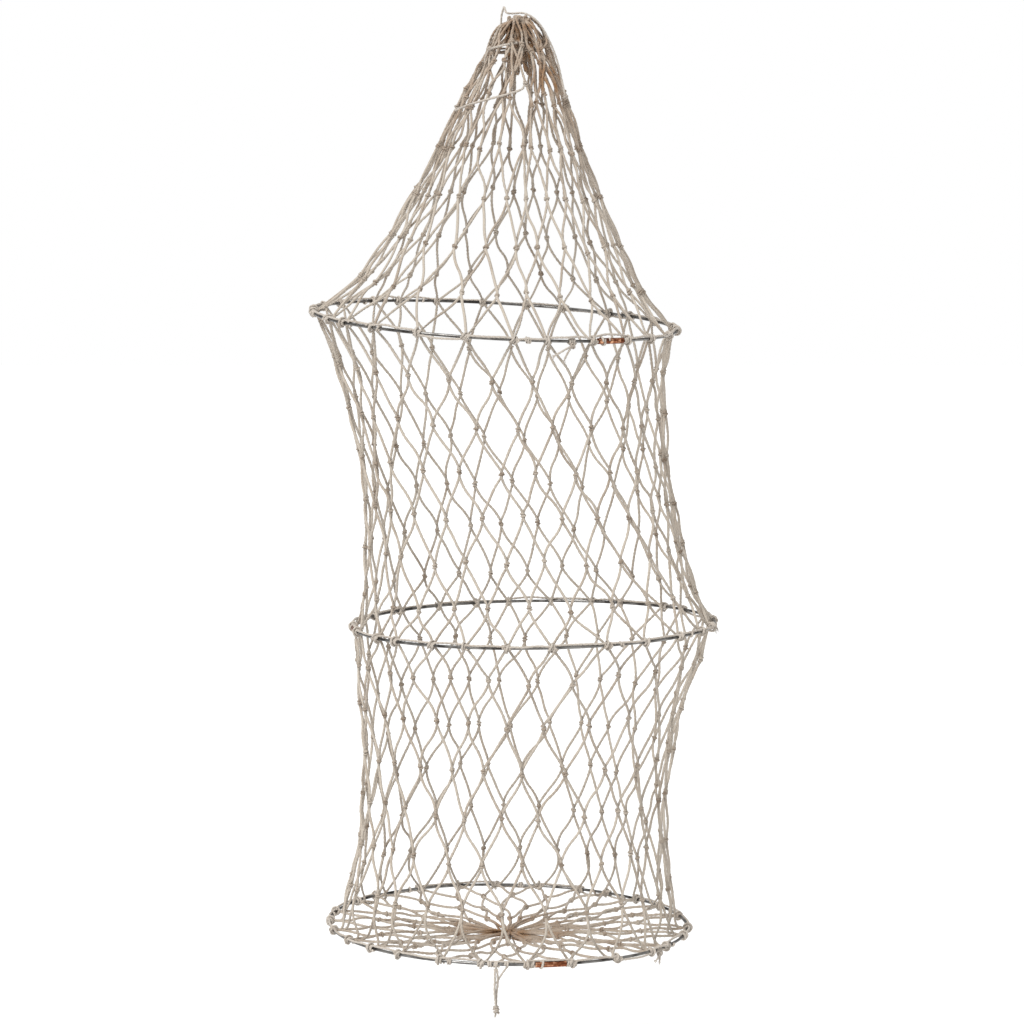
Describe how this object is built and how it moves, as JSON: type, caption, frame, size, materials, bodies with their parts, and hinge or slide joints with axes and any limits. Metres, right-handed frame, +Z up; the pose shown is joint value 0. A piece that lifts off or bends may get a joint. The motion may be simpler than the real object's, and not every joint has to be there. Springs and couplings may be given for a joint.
{
  "type": "folding crab trap",
  "caption": "Folding crab trap: a tube of knotted twine netting on wire hoops, gathered to a neck that it hangs from, with its base netting drawn in to the middle.",
  "frame": {"origin": "the hang point: the top of the gathered neck, on the neck's axis", "axes": "+Z up, from the base to the neck; +X to the right; -Y is the front, where the tail hangs"},
  "size_m": [0.3387, 0.3092, 0.8021],
  "materials": {
    "steel_wire": "satin",
    "copper_sleeve": "satin",
    "netting_twine": "matte",
    "lashing_twine": "matte"
  },
  "bodies": {
    "neck": {"neck_bundle": "netting_twine", "neck_tie": "lashing_twine", "neck_tie_knot": "lashing_twine", "hang_loop": "lashing_twine", "neck_loose_strand": "lashing_twine", "cone_net": "netting_twine"},
    "top_hoop": {"top_hoop_wire": "steel_wire", "top_hoop_ferrule": "copper_sleeve", "top_hoop_hitches": "lashing_twine", "top_hoop_runner": "lashing_twine", "top_lashing_knot": "lashing_twine", "upper_net": "netting_twine"},
    "middle_hoop": {"middle_hoop_wire": "steel_wire", "middle_hoop_ferrule": "copper_sleeve", "middle_hoop_hitches": "lashing_twine", "middle_hoop_runner": "lashing_twine", "middle_lashing_knot": "lashing_twine", "lower_net": "netting_twine"},
    "bottom_hoop": {"bottom_hoop_wire": "steel_wire", "bottom_hoop_ferrule": "copper_sleeve", "bottom_hoop_hitches": "lashing_twine", "bottom_hoop_runner": "lashing_twine", "bottom_lashing_knot": "lashing_twine", "base_net": "netting_twine", "base_draw_cord": "lashing_twine", "base_draw_knot": "lashing_twine", "tail_cord": "lashing_twine", "tail_end_knot": "lashing_twine"}
  },
  "joints": [
    {"name": "cone_fold", "type": "slide", "parent": "neck", "child": "top_hoop", "axis": [0, 0, 1], "range_m": [0, 0.21], "deforming": ["cone_net"]},
    {"name": "upper_fold", "type": "slide", "parent": "top_hoop", "child": "middle_hoop", "axis": [0, 0, 1], "range_m": [0, 0.225], "deforming": ["upper_net"]},
    {"name": "lower_fold", "type": "slide", "parent": "middle_hoop", "child": "bottom_hoop", "axis": [0, 0, 1], "range_m": [0, 0.235], "deforming": ["lower_net"]}
  ]
}
